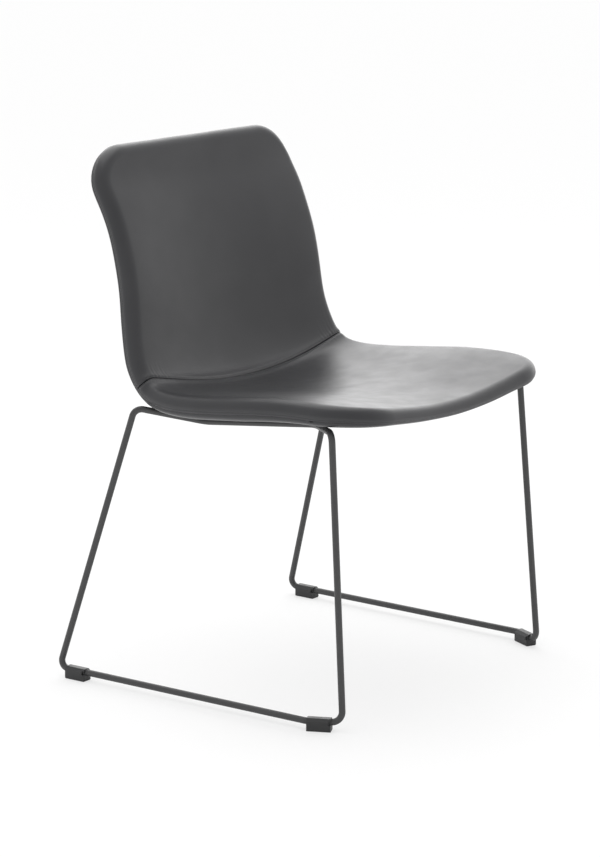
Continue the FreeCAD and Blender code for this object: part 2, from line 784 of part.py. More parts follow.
def write_parts():
    """One STEP file for each sub-part."""
    os.makedirs("parts", exist_ok=True)
    for label in NODES:
        shape = by_label(label).Shape
        box = shape.BoundBox
        shape.exportStep("parts/%s.step" % label)
        print("%-24s solids %d volume %9.0f  x %7.1f %7.1f  y %7.1f %7.1f  z %6.1f %6.1f" % (
            label, len(shape.Solids), shape.Volume,
            box.XMin, box.XMax, box.YMin, box.YMax, box.ZMin, box.ZMax))


OUTSIDE = make_shell()
make_cross_bars(make_sled_rods())
for mount_name, mount_place in MOUNTS:
    make_tab(mount_name, mount_place)
    make_rubber_pad(mount_name, mount_place, OUTSIDE)
make_fasteners()
make_glides()
check_document()
write_parts()
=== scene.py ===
"""Looks of the sled base visitor chair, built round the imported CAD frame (Blender 4.5)."""

import json
import math

import bmesh
import bpy
import numpy as np
from mathutils import Matrix, Vector


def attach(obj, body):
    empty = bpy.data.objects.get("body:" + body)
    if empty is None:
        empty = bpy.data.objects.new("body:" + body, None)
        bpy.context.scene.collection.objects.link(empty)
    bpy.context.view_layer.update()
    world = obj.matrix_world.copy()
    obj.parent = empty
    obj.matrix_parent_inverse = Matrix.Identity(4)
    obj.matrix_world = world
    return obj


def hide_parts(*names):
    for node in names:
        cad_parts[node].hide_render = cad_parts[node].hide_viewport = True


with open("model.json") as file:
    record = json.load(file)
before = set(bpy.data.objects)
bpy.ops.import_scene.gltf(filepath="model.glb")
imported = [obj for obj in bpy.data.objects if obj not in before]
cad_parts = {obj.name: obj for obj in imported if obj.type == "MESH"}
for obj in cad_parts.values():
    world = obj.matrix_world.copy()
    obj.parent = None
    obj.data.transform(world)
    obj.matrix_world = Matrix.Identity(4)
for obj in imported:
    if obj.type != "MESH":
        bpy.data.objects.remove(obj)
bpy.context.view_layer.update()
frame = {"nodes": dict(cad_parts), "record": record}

MM = 0.001

# The upholstered shell, in mm, with the same named values as the part's source.
# Middle line of its edge from the seat's front to the back's top: y, z, half width to the
# outside, hollow on the sitter's side, belly outside, and how much thicker the outer side is.
STATIONS = [
    (-287.0, 460.6, 266.0, 24.0, 18.0, 0.70),
    (-250.0, 461.6, 266.0, 24.0, 18.0, 0.84),
    (-194.0, 462.8, 267.0, 24.0, 19.0, 0.97),
    (-133.0, 461.9, 269.0, 24.0, 20.0, 1.06),
    (-68.0, 456.5, 270.0, 24.0, 21.0, 1.12),
    (-2.6, 450.0, 270.0, 23.0, 22.0, 1.12),
    (45.0, 447.0, 268.0, 22.0, 22.0, 1.10),
    (80.0, 447.6, 262.0, 22.0, 22.0, 1.07),
    (104.0, 451.8, 257.0, 22.0, 22.0, 1.04),
    (124.0, 462.5, 254.5, 22.0, 22.0, 1.00),
    (140.0, 482.0, 253.0, 22.0, 22.5, 1.00),
    (152.0, 511.0, 250.0, 23.0, 23.0, 1.00),
    (161.0, 552.0, 246.0, 24.0, 24.0, 1.00),
    (167.0, 598.6, 243.0, 24.0, 24.0, 1.00),
    (174.5, 640.0, 241.5, 22.0, 22.0, 1.00),
    (187.5, 684.0, 239.5, 19.0, 19.0, 1.00),
    (206.5, 728.0, 238.5, 14.0, 14.0, 1.00),
    (226.0, 766.0, 238.0, 8.0, 8.0, 1.00),
    (234.0, 799.0, 238.0, 4.0, 4.0, 1.00),
    (237.0, 816.0, 238.0, 3.0, 3.0, 1.00),
]
SHIFT_Y = 13.5
HALF = 17.0
ROUND = 16.0
FLAT = HALF - ROUND
FRONT_CORNER = 88.0
TOP_CORNER = 68.0
RIM_SEAM = 8.0
PANEL_SEAM = 398.0
UNDER_FLAT = 0.8
FLAT_LAST = 370.0
FLAT_FADE = 120.0

# What only the looks have: the pads' base on the core, how far it is drawn in from the edge,
# a flatter hollow on the sitter's side, and the rise of the seam between seat and back
# towards the sides.
PAD_BASE = -4.6
BASE_SHARE = 0.7
TOP_SOFT = 1.5
SEAM_RISE = 22.0
SEAM_REACH = 110.0
OUTER_THICKNESS = 0.002


# Curves through the stations.

def spline(knots, values):
    """Natural cubic spline through the values; gives value and slope."""
    knots = np.asarray(knots, float)
    values = np.asarray(values, float)
    count = len(knots)
    step = np.diff(knots)
    rate = np.diff(values) / step
    system = np.eye(count)
    right = np.zeros(count)
    for i in range(1, count - 1):
        system[i, i - 1] = step[i - 1]
        system[i, i] = 2 * (step[i - 1] + step[i])
        system[i, i + 1] = step[i]
        right[i] = 6 * (rate[i] - rate[i - 1])
    bend = np.linalg.solve(system, right)

    def value(at):
        at = np.asarray(at, float)
        inside = np.clip(at, knots[0], knots[-1])
        i = np.clip(np.searchsorted(knots, inside) - 1, 0, count - 2)
        t = inside - knots[i]
        h = step[i]
        first = rate[i] - h * (2 * bend[i] + bend[i + 1]) / 6
        third = (bend[i + 1] - bend[i]) / (6 * h)
        level = values[i] + first * t + bend[i] / 2 * t ** 2 + third * t ** 3
        slope = first + bend[i] * t + 3 * third * t ** 2
        return level + slope * (at - inside), slope

    return value


ROWS = np.array(STATIONS)
KNOTS = np.concatenate([[0], np.cumsum(np.hypot(np.diff(ROWS[:, 0]), np.diff(ROWS[:, 1])))])
REACH = KNOTS[-1]
LINE_Y = spline(KNOTS, ROWS[:, 0] + SHIFT_Y)
LINE_Z = spline(KNOTS, ROWS[:, 1])
WIDE = spline(KNOTS, ROWS[:, 2])
HOLLOW = spline(KNOTS, ROWS[:, 3])
BELLY = spline(KNOTS, ROWS[:, 4])
SWELL = spline(KNOTS, ROWS[:, 5])


def level(curve, run):
    """Value of a curve at this run, kept at its end values beyond the ends."""
    return curve(np.clip(run, 0, REACH))[0]


def smooth(low, high, value):
    """Smooth step from 0 at low to 1 at high."""
    t = np.clip((value - low) / (high - low), 0, 1)
    return t * t * (3 - 2 * t)


def shell_point(run, x, height, soft=1.0):
    """Point of the shell at a run along it, x across it and a height over its middle."""
    y, slope_y = LINE_Y(run)
    z, slope_z = LINE_Z(run)
    length = np.hypot(slope_y, slope_z)
    across = np.clip(1 - (x / (level(WIDE, run) - ROUND)) ** 2, 0, 1)
    belly = level(BELLY, run)
    outside = (HALF - height) / (2 * HALF)
    depth = level(HOLLOW, run) * (1 - outside) + belly * outside
    flat = UNDER_FLAT * (1 - smooth(0, 1, (run - FLAT_LAST) / FLAT_FADE))
    depth = depth * (1 - flat * outside * (1 - across))
    share = np.clip((height + FLAT) / (HALF + FLAT), 0, 1)
    power = 1 + (soft - 1) * share
    lift = np.where(height < 0, height * level(SWELL, run), height)
    lift = lift - depth * across ** power
    return np.stack([x + 0 * y, y - slope_z / length * lift, z + slope_y / length * lift], -1)


# The edge's path over the rounding, from the top face round to the underside.
ARC = ROUND * math.pi / 2
WALL = 2 * FLAT
SEAM_TURN = math.asin((RIM_SEAM - FLAT) / ROUND)
EDGE_SEAM = ARC + WALL + ROUND * SEAM_TURN
EDGE_END = 2 * ARC + WALL


def edge_path(run):
    """How far out and how high the edge is after this way over its rounding."""
    run = np.asarray(run, float)
    first = np.clip(run / ROUND, 0, math.pi / 2)
    last = np.clip((run - ARC - WALL) / ROUND, 0, math.pi / 2)
    wall = np.clip(run - ARC, 0, WALL)
    out = ROUND * (np.sin(first) - (1 - np.cos(last)))
    high = FLAT + ROUND * np.cos(first) - wall - ROUND * np.sin(last)
    return out, high


# Rows along the shell and columns across it.

def spread(points, gap):
    """Values from point to point, with about this gap between them."""
    values = [points[0]]
    for low, high in zip(points, points[1:]):
        count = max(1, int(round((high - low) / gap)))
        values += [low + (high - low) * i / count for i in range(1, count + 1)]
    return values


def seam_bend(share):
    """How far the seam between the panels has risen at this share of the half width."""
    return SEAM_RISE * np.minimum(np.abs(share), 1) ** 3


# Distances from the panels' seam of the rows next to it.
SEAM_ROWS = [0.25, 0.8, 1.6, 2.4, 3.2, 4.0, 4.8, 5.8, 7, 9, 12, 16, 20, 25, 30]
ROW_GAP = 8.0
CORNER_STEPS = 14
FRONT, MIDDLE, TOP = -1, 0, 1


def corner_rows(end):
    """Rows across the two round corners of one end, from the end inwards."""
    reach = (FRONT_CORNER if end == FRONT else TOP_CORNER) - ROUND
    rows = []
    for number in range(CORNER_STEPS + 1):
        angle = math.pi / 2 * number / CORNER_STEPS
        inwards = ROUND + reach * (1 - math.cos(angle))
        rows.append((inwards if end == FRONT else REACH - inwards, end, angle))
    return rows


def make_rows(start, end):
    """Rows of one panel: run, the end that it rounds, and the angle round its corners."""
    first = FRONT_CORNER if start is None else start
    last = REACH - TOP_CORNER if end is None else end
    if end is not None:
        near = [last - d for d in reversed(SEAM_ROWS)]
        runs = spread([first, near[0]], ROW_GAP)[1:] + near[1:]
    elif start is not None:
        near = [first + d for d in SEAM_ROWS]
        runs = near + spread([near[-1], last], ROW_GAP)[1:-1]
    else:
        runs = spread([first, last], ROW_GAP)[:-1]
    rows = [(run, MIDDLE, math.pi / 2) for run in runs]
    if start is None:
        rows = corner_rows(FRONT) + rows
    if end is None:
        rows = rows + corner_rows(TOP)[::-1]
    return rows


# Columns as shares of the half width, finer where the gathers are, and steps over the
# rounding on either side, finer next to the rim seam.
GATHER_SHARE = 0.72
SIDE_SHARES = spread([0, GATHER_SHARE], 0.036) + spread([GATHER_SHARE, 1.0], 0.009)[1:]
SHARES = np.array([-s for s in reversed(SIDE_SHARES)] + SIDE_SHARES[1:])
FINE_STEP = 0.8
FINE_FROM = 24
TOP_STEPS = spread([0, FINE_FROM], 3.0)[1:] + spread([FINE_FROM, EDGE_SEAM], FINE_STEP)[1:]
TUCK = 2.4
LIP = 4.8
UNDER_STEPS = spread([EDGE_SEAM - TUCK, EDGE_SEAM + LIP], FINE_STEP)
UNDER_STEPS += spread([EDGE_SEAM + LIP, EDGE_END], 2.6)[1:-1]
UNDER_STEPS.reverse()


def seam_shift(run, share):
    """Rows near the panels' seam follow its bend."""
    weight = 1 - smooth(0, SEAM_REACH, abs(run - PANEL_SEAM))
    return weight * seam_bend(share)


def flat_grid(rows, steps, tuck=1.0):
    """Run, x and way over the rounding for every point, with the edge strips at both sides."""
    steps = np.asarray(steps)
    run_rows = []
    x_rows = []
    for run, end, angle in rows:
        corner = TOP_CORNER if end == TOP else FRONT_CORNER
        half = float(level(WIDE, run)) - corner + (corner - ROUND) * math.sin(angle)
        out = edge_path(steps)[0] * tuck
        x_side = half + math.sin(angle) * out
        run_side = run + end * math.cos(angle) * out + seam_shift(run, 1.0)
        run_mid = run + seam_shift(run, SHARES)
        x_rows.append(np.concatenate([-x_side[::-1], SHARES * half, x_side]))
        run_rows.append(np.concatenate([run_side[::-1], run_mid, run_side]))
    way = np.concatenate([steps[::-1], np.zeros(len(SHARES)), steps])
    return np.array(run_rows), np.array(x_rows), np.tile(way, (len(rows), 1))


def end_grid(rows, end, steps, tuck=1.0):
    """The strips beyond the first or last row, over the front or top edge."""
    row = rows[0] if end == FRONT else rows[-1]
    run, x, _ = flat_grid([row], steps, tuck)
    middle = slice(len(steps), len(steps) + len(SHARES))
    out = edge_path(steps)[0] * tuck
    runs = np.concatenate([run[:, middle], run[:, middle] + end * out[:, None]])
    xs = np.tile(x[:, middle], (len(steps) + 1, 1))
    ways = np.tile(np.concatenate([[0], steps])[:, None], (1, len(SHARES)))
    return runs, xs, ways


def unit(vectors):
    """The vectors at length 1."""
    return vectors / np.maximum(np.linalg.norm(vectors, axis=-1, keepdims=True), 1e-9)


def grid_normals(points):
    """Normal at every point of a grid."""
    return unit(np.cross(np.gradient(points, axis=1), np.gradient(points, axis=0)))


# Relief of the leather, in mm. Ridges and grooves: height, distance from their seam, width.
STITCH_ASIDE = 3.6
RIM_STITCH_ASIDE = 4.6
PANEL_SEAM_RELIEF = [(-2.3, 0.0, 1.3), (0.9, 6.5, 6.0), (-0.8, STITCH_ASIDE, 0.9)]
RIM_SEAM_RELIEF = [(-1.2, 0.0, 1.7), (-0.45, RIM_STITCH_ASIDE, 0.8), (0.3, 9.0, 3.5)]
OUTER_EDGE_DEEP = 1.1
OUTER_EDGE_WIDE = 1.6
TUCK_SLOPE = 0.45
OUTER_ROLL = (0.35, -5.0, 3.0)

# Sums of sines: size, phase and the two rates. The gathers at the ends of the panels' seam
# are the sum of folds that lean the same way on both sides and of mirrored ones.
UNEVEN = [(0.16, 0.4, 0.045, 0.031), (0.12, 2.1, -0.022, 0.058), (0.08, 4.0, 0.083, -0.041)]
PUCKER = [(0.10, 0.3, 1.25, 0.0), (0.07, 1.7, 0.83, 0.03)]
RIM_PUCKER = [(0.07, 0.0, 0.9, 0.33), (0.05, 1.1, 1.37, -0.21)]
GATHERS = [(0.55, 0.9, 0.86, 0.05)]
GATHERS_CROSS = [(0.3, 2.2, 0.57, 0.08)]

# Where they are, in mm. The unevenness fades in over these distances from the panels' seam and
# from the rim seam. The puckers have this distance from their seam, and this width. The gathers
# begin and are full at these distances from the side, and end over this way round it. They set
# in over this distance from the seam, and fade with these lengths above and below it.
UNEVEN_FADES = (16, 14)
PUCKER_PLACE = (3.0, 5.0)
RIM_PUCKER_PLACE = (4.0, 4.0)
GATHER_SIDES = (62, 24)
GATHER_ROUND = (10, 26)
GATHER_FADES = (13.0, 6.0)
GATHER_SET_IN = (0.8, 4.0)


def bump(value, width):
    """Round bump of height 1."""
    return np.exp(-(value / width) ** 2)


def ridges(shapes, distance):
    """Sum of the ridges and grooves at this distance from their seam."""
    return sum(height * bump(distance - place, width) for height, place, width in shapes)


def waves(terms, a, b):
    """Fixed sum of sines, for unevenness with nothing random in it."""
    return sum(size * np.sin(phase + rate_a * a + rate_b * b)
               for size, phase, rate_a, rate_b in terms)


def relief(run, x, way, underside):
    """Height of seams, stitch grooves, gathers and unevenness over the plain form, in mm."""
    wide = level(WIDE, run) - ROUND
    seam = run - PANEL_SEAM - seam_bend(np.clip(np.abs(x) / wide, 0, 1))
    from_seam = np.abs(seam)
    reach = np.abs(x) + way
    lift = waves(UNEVEN, run, x)
    if underside:
        edge = EDGE_SEAM - np.where(way <= 0, EDGE_END, way)
        lift = lift - OUTER_EDGE_DEEP * bump(np.minimum(edge, 0), OUTER_EDGE_WIDE)
        return lift - TUCK_SLOPE * np.clip(edge, 0, 3) + ridges([OUTER_ROLL], edge)
    edge = EDGE_SEAM - way
    lift = lift * smooth(0, UNEVEN_FADES[0], from_seam) * smooth(0, UNEVEN_FADES[1], edge)
    lift = lift + ridges(PANEL_SEAM_RELIEF, from_seam) + ridges(RIM_SEAM_RELIEF, edge)
    lift = lift + waves(PUCKER, reach, run) * bump(from_seam - PUCKER_PLACE[0], PUCKER_PLACE[1])
    rim_band = bump(edge - RIM_PUCKER_PLACE[0], RIM_PUCKER_PLACE[1])
    lift = lift + waves(RIM_PUCKER, run, x) * rim_band
    gather = waves(GATHERS, reach, np.sign(x) * seam) + waves(GATHERS_CROSS, reach, seam)
    begin, full = GATHER_SIDES
    place = smooth(wide - begin, wide - full, np.abs(x)) * (1 - smooth(*GATHER_ROUND, way))
    fade = np.exp(-from_seam / np.where(seam > 0, *GATHER_FADES))
    return lift + gather * place * fade * smooth(*GATHER_SET_IN, from_seam)


def skin(run, x, way, underside):
    """Points of a panel's plain form."""
    height = edge_path(way)[1]
    if underside:
        return shell_point(run, x, np.where(way <= 0, -HALF, height))
    return shell_point(run, x, height, TOP_SOFT)


def dress(run, x, way, underside, hand):
    """Points of a panel with its relief; hand turns the grid's normals outwards."""
    plain = skin(run, x, way, underside)
    normals = hand * grid_normals(plain)
    return plain + normals * relief(run, x, way, underside)[..., None]


MERGE = 2e-6


class Sheet:
    """Points and faces of a piece that is put together from grids."""

    def __init__(self):
        self.points = []
        self.faces = []

    def grid(self, points):
        """Add a grid; gives the numbers of its points."""
        rows, columns = points.shape[:2]
        start = len(self.points)
        self.points += [tuple(p) for p in points.reshape(-1, 3)]
        return np.arange(rows * columns).reshape(rows, columns) + start

    def fill(self, numbers):
        """Add the faces between the points of a grid."""
        for upper, lower in zip(numbers, numbers[1:]):
            for a, b, c, d in zip(upper, upper[1:], lower[1:], lower):
                face = []
                for n in (a, b, c, d):
                    if n not in face:
                        face.append(int(n))
                if len(face) > 2:
                    self.faces.append(face)

    def build(self, name):
        """Make the object, with its doubled points merged."""
        mesh = bpy.data.meshes.new(name)
        mesh.from_pydata([tuple(MM * c for c in p) for p in self.points], [], self.faces)
        work = bmesh.new()
        work.from_mesh(mesh)
        bmesh.ops.remove_doubles(work, verts=work.verts, dist=MERGE)
        loose = [v for v in work.verts if not v.link_faces]
        bmesh.ops.delete(work, geom=loose, context="VERTS")
        bmesh.ops.recalc_face_normals(work, faces=work.faces)
        work.to_mesh(mesh)
        work.free()
        mesh.polygons.foreach_set("use_smooth", [True] * len(mesh.polygons))
        mesh.update()
        piece = bpy.data.objects.new(name, mesh)
        bpy.context.scene.collection.objects.link(piece)
        return piece


def panel_grids(rows, steps, underside, ends):
    """Dressed points of a panel's main grid and of the strips over its free ends."""
    hand = -1 if underside else 1
    main = dress(*flat_grid(rows, steps), underside, hand)
    strips = [dress(*end_grid(rows, end, steps), underside, hand * end) for end in ends]
    return main, strips


def join_strip(sheet, numbers, end, strip, steps):
    """Hang an end strip on the first or last row, welded to the side strips."""
    row = numbers[0] if end == FRONT else numbers[-1]
    first = len(steps)
    last = first + len(SHARES) - 1
    added = sheet.grid(strip)
    added[0, :] = row[first:last + 1]
    for k in range(1, len(steps) + 1):
        added[k, 0] = row[first - k]
        added[k, -1] = row[last + k]
    sheet.fill(added)
    return added


def border(numbers, strip, end):
    """Numbers of the points round a panel's border, in order."""
    right = list(numbers[:, -1])
    left = list(numbers[::-1, 0])
    last = strip[-1, 1:-1] if end == TOP else numbers[-1, 1:-1]
    first = strip[-1, 1:-1] if end == FRONT else numbers[0, 1:-1]
    return [int(n) for n in right + list(last[::-1]) + left + list(first)]


def add_panel(sheet, main, strip, end, steps):
    """Put a panel's grid and its end strip in the sheet; gives its border."""
    numbers = sheet.grid(main)
    sheet.fill(numbers)
    return border(numbers, join_strip(sheet, numbers, end, strip, steps), end)


def make_pad(name, rows, end):
    """One upholstered pad of the sitter's side: its leather over its foam, on the core."""
    main, strips = panel_grids(rows, TOP_STEPS, False, [end])
    sheet = Sheet()
    rim = add_panel(sheet, main, strips[0], end, TOP_STEPS)
    low = []
    for run, x, _ in (flat_grid(rows, TOP_STEPS, BASE_SHARE),
                      end_grid(rows, end, TOP_STEPS, BASE_SHARE)):
        low.append(shell_point(run, x, np.full_like(run, PAD_BASE)))
    base = add_panel(sheet, low[0], low[1], end, TOP_STEPS)
    sheet.fill(np.array([rim + rim[:1], base + base[:1]]))
    return sheet.build(name)


def make_outer():
    """Leather outside cover, under the seat and behind the back."""
    ends = [FRONT, TOP]
    main, strips = panel_grids(make_rows(None, None), UNDER_STEPS, True, ends)
    sheet = Sheet()
    numbers = sheet.grid(main)
    sheet.fill(numbers)
    for end, strip in zip(ends, strips):
        join_strip(sheet, numbers, end, strip, UNDER_STEPS)
    return sheet.build("outer_leather")


def thicken(piece, thickness):
    """Give a sheet its thickness, inwards."""
    solid = piece.modifiers.new("thickness", "SOLIDIFY")
    solid.thickness = thickness
    solid.offset = -1
    bpy.context.view_layer.update()
    graph = bpy.context.evaluated_depsgraph_get()
    mesh = bpy.data.meshes.new_from_object(piece.evaluated_get(graph))
    piece.modifiers.clear()
    piece.data = mesh


# Stitches: short rounded threads that lie in their grooves.

STITCH_LONG = 2.9
STITCH_PITCH = 4.0
THREAD = 0.42
THREAD_SINK = 0.1
THREAD_DIVE = 0.3
THREAD_SIDES = 6

# Points of a row beside the panels' seam, across it and down its two sides, and how far from
# the rim seam the row ends.
ROW_POINTS = 161
SIDE_POINTS = 18
ROW_END = 7.0

# How far beside a point its normal is measured, and the heights of points inside the shell,
# from which the normals are made to point away.
PROBE = 0.5
INSIDE_PAD = -5.0
INSIDE_RIM = -2.0

# Along a stitch: place from its middle to its end, and share of the thread's radius.
STITCH_FORM = [(-1, 0.3), (-0.86, 0.85), (-0.4, 1.0), (0.4, 1.0), (0.86, 0.85), (1, 0.3)]


def lay_stitches(sheet, path, normals):
    """Stitches along a path of points, each lying on its surface."""
    steps = np.linalg.norm(np.diff(path, axis=0), axis=1)
    way = np.concatenate([[0], np.cumsum(steps)])
    turns = [2 * math.pi * k / THREAD_SIDES for k in range(THREAD_SIDES)]

    def at(place, values):
        return np.array([np.interp(place, way, values[:, axis]) for axis in range(3)])

    for number in range(int(way[-1] / STITCH_PITCH)):
        middle = (number + 0.5) * STITCH_PITCH
        centre = at(middle, path)
        along = unit(at(middle + STITCH_LONG / 2, path) - at(middle - STITCH_LONG / 2, path))
        normal = at(middle, normals)
        normal = unit(normal - along * normal.dot(along))
        side = np.cross(along, normal)
        rings = []
        for share, width in STITCH_FORM:
            sink = THREAD_SINK + THREAD_DIVE * share * share
            spot = centre + along * share * STITCH_LONG / 2 - normal * sink
            rings.append([spot + THREAD * width * (math.cos(turn) * side + math.sin(turn) * normal)
                          for turn in turns])
        numbers = sheet.grid(np.array(rings))
        sheet.fill(np.concatenate([numbers, numbers[:, :1]], axis=1))
        sheet.faces.append([int(n) for n in numbers[0][::-1]])
        sheet.faces.append([int(n) for n in numbers[-1]])


def sewn(run, x, way):
    """Points and normals of the sitter's side along a path, with its relief."""
    middle = skin(run, x, way, False)
    on_side = way > 0
    out = np.where(on_side, edge_path(way + PROBE)[0] - edge_path(way)[0], PROBE)
    out = out * np.where(x < 0, -1, 1)
    across = skin(run, x + out, way + np.where(on_side, PROBE, 0), False) - middle
    along = skin(run + PROBE, x, way, False) - middle
    normal = unit(np.cross(across, along))
    inside = shell_point(run, x * 0.6, np.full_like(run, INSIDE_PAD), TOP_SOFT)
    normal[np.sum((middle - inside) * normal, axis=1) < 0] *= -1
    return middle + normal * relief(run, x, way, False)[:, None], normal


def panel_stitches(sheet, offset):
    """One row of stitches beside the seam between seat and back."""
    shares = np.linspace(-1, 1, ROW_POINTS)
    ways = np.linspace(0.4, EDGE_SEAM - ROW_END, SIDE_POINTS)
    end = PANEL_SEAM + SEAM_RISE + offset
    side_run = np.full(len(ways), end)
    side_x = float(level(WIDE, end)) - ROUND + edge_path(ways)[0]
    wide = float(level(WIDE, PANEL_SEAM)) - ROUND
    run = np.concatenate([side_run, PANEL_SEAM + seam_bend(shares) + offset, side_run])
    x = np.concatenate([-side_x[::-1], shares * wide, side_x])
    way = np.concatenate([ways[::-1], np.zeros(len(shares)), ways])
    lay_stitches(sheet, *sewn(run, x, way))


def rim_stitches(sheet):
    """Stitches inside the rim seam, along both sides, the front edge and the top edge."""
    steps = [EDGE_SEAM - RIM_STITCH_ASIDE]
    rows = make_rows(None, None)
    run, x, way = flat_grid(rows, steps)
    plain = skin(run, x, way, False)
    for column in (0, -1):
        line, across, round_edge = run[:, column], x[:, column], way[:, column]
        inner = shell_point(line, across * 0.9, np.full(len(line), INSIDE_RIM))
        normals = unit(plain[:, column] - inner)
        lift = relief(line, across, round_edge, False)
        points = plain[:, column] + normals * lift[:, None]
        lay_stitches(sheet, points, normals)
    for end in (FRONT, TOP):
        run, x, way = end_grid(rows, end, steps)
        points = dress(run, x, way, False, end)[-1]
        inner = shell_point(run[-1] - end * 20, x[-1], np.full(len(SHARES), INSIDE_RIM))
        lay_stitches(sheet, points, unit(points - inner))


def make_stitches():
    """All the stitches that show on the sitter's side, as one piece."""
    sheet = Sheet()
    panel_stitches(sheet, STITCH_ASIDE)
    panel_stitches(sheet, -STITCH_ASIDE)
    rim_stitches(sheet)
    return sheet.build("stitches")


seat = make_pad("seat_leather", make_rows(None, PANEL_SEAM), FRONT)
back = make_pad("back_leather", make_rows(PANEL_SEAM, None), TOP)
outer = make_outer()
stitches = make_stitches()


# Materials.

CLOUD_TO_GRAIN = 25
PORE_SHARE = 0.35


def node_maker(tree):
    """Function that adds a node and sets its inputs or its own settings by name."""
    def node(kind, **values):
        new = tree.nodes.new(kind)
        for key, value in values.items():
            if key in new.inputs:
                new.inputs[key].default_value = value
            else:
                setattr(new, key, value)
        return new

    return node


def material(name):
    """New material with its linker, its Principled shader and a node maker."""
    made = bpy.data.materials.new(name)
    made.use_nodes = True
    tree = made.node_tree
    return made, tree.links.new, tree.nodes["Principled BSDF"], node_maker(tree)


def ramp(node, *stops):
    """Colour ramp through the stops: place and grey value or colour."""
    made = node("ShaderNodeValToRGB")
    for stop in stops[2:]:
        made.color_ramp.elements.new(stop[0])
    for element, stop in zip(made.color_ramp.elements, stops):
        element.position = stop[0]
        value = stop[1]
        element.color = (*value, 1) if isinstance(value, tuple) else (value, value, value, 1)
    return made


def leather():
    """Smooth leather: cloudy tone and gloss, fine creases between small cells, pores."""
    made, link, shader, node = material("leather")
    place = node("ShaderNodeTexCoord").outputs["Object"]
    cloud = node("ShaderNodeTexNoise", Scale=9.0, Detail=3.0)
    link(place, cloud.inputs["Vector"])
    tone = ramp(node, (0.3, (0.026, 0.026, 0.029)), (0.7, (0.034, 0.034, 0.037)))
    link(cloud.outputs["Fac"], tone.inputs["Fac"])
    link(tone.outputs["Color"], shader.inputs["Base Color"])
    rub = node("ShaderNodeTexNoise", Scale=34.0, Detail=4.0)
    link(place, rub.inputs["Vector"])
    gloss = ramp(node, (0.25, 0.34), (0.75, 0.41))
    link(rub.outputs["Fac"], gloss.inputs["Fac"])
    link(gloss.outputs["Color"], shader.inputs["Roughness"])
    cells = node("ShaderNodeTexVoronoi", Scale=950.0)
    cells.feature = "DISTANCE_TO_EDGE"
    link(place, cells.inputs["Vector"])
    pores = node("ShaderNodeTexNoise", Scale=2600.0, Detail=2.0)
    link(place, pores.inputs["Vector"])
    edges = ramp(node, (0.0, 0.0), (0.16, 1.0))
    link(cells.outputs["Distance"], edges.inputs["Fac"])
    mixed = node("ShaderNodeMath", operation="MULTIPLY_ADD")
    mixed.inputs[1].default_value = PORE_SHARE
    link(pores.outputs["Fac"], mixed.inputs[0])
    link(edges.outputs["Color"], mixed.inputs[2])
    bumps = node("ShaderNodeBump", Strength=0.12, Distance=0.00012)
    link(mixed.outputs["Value"], bumps.inputs["Height"])
    link(bumps.outputs["Normal"], shader.inputs["Normal"])
    return made


def speckled(name, base, other, rough, scale, strength, distance, metallic=0.0):
    """Fine-grained finish: powder coat, moulded plastic, rubber, wood or plated steel."""
    made, link, shader, node = material(name)
    place = node("ShaderNodeTexCoord").outputs["Object"]
    cloud = node("ShaderNodeTexNoise", Scale=scale / CLOUD_TO_GRAIN, Detail=3.0)
    link(place, cloud.inputs["Vector"])
    tone = ramp(node, (0.3, base), (0.7, other))
    link(cloud.outputs["Fac"], tone.inputs["Fac"])
    link(tone.outputs["Color"], shader.inputs["Base Color"])
    gloss = ramp(node, (0.3, rough[0]), (0.7, rough[1]))
    link(cloud.outputs["Fac"], gloss.inputs["Fac"])
    link(gloss.outputs["Color"], shader.inputs["Roughness"])
    grain = node("ShaderNodeTexNoise", Scale=scale, Detail=3.0)
    link(place, grain.inputs["Vector"])
    bumps = node("ShaderNodeBump", Strength=strength, Distance=distance)
    link(grain.outputs["Fac"], bumps.inputs["Height"])
    link(bumps.outputs["Normal"], shader.inputs["Normal"])
    shader.inputs["Metallic"].default_value = metallic
    return made


leather_finish = leather()
thread_finish = speckled("thread", (0.016, 0.016, 0.018), (0.026, 0.026, 0.028),
                         (0.5, 0.6), 1800.0, 0.3, 0.00008)
SLOT_FINISH = {
    "leather": leather_finish,
    "powder_coat": speckled("powder_coat", (0.046, 0.046, 0.047), (0.054, 0.054, 0.055),
                            (0.42, 0.5), 1500.0, 0.25, 0.00008),
    "glide_plastic": speckled("glide_plastic", (0.022, 0.022, 0.023), (0.030, 0.030, 0.031),
                              (0.42, 0.55), 1100.0, 0.3, 0.0001),
    "rubber": speckled("rubber", (0.012, 0.012, 0.012), (0.02, 0.02, 0.02),
                       (0.75, 0.85), 900.0, 0.3, 0.0001),
    "moulded_wood": speckled("moulded_wood", (0.42, 0.29, 0.17), (0.55, 0.40, 0.25),
                             (0.5, 0.65), 320.0, 0.2, 0.0001),
    "fasteners": speckled("fasteners", (0.42, 0.42, 0.43), (0.55, 0.55, 0.57),
                          (0.28, 0.4), 1200.0, 0.15, 0.00005, 1.0),
}
for subpart in frame["record"]["subparts"]:
    finish = SLOT_FINISH.get(subpart["material_slot"])
    if finish:
        cad = frame["nodes"][subpart["node"]]
        for place in cad.material_slots:
            place.material = finish


def settle(piece, finish, slot_name, *stands_for):
    """Finish a piece and set it on the chair's one body."""
    piece.data.materials.clear()
    piece.data.materials.append(finish)
    if stands_for:
        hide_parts(*stands_for)
    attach(piece, "root")


thicken(outer, OUTER_THICKNESS)
settle(seat, leather_finish, "leather", "seat_cover", "seat_foam")
settle(back, leather_finish, "leather", "back_cover", "back_foam")
settle(outer, leather_finish, "leather", "outer_cover")
settle(stitches, thread_finish, "leather")


# Floor, light and camera.

FLOOR_DROP = 0.0003
FLOOR_GLOW = 0.6


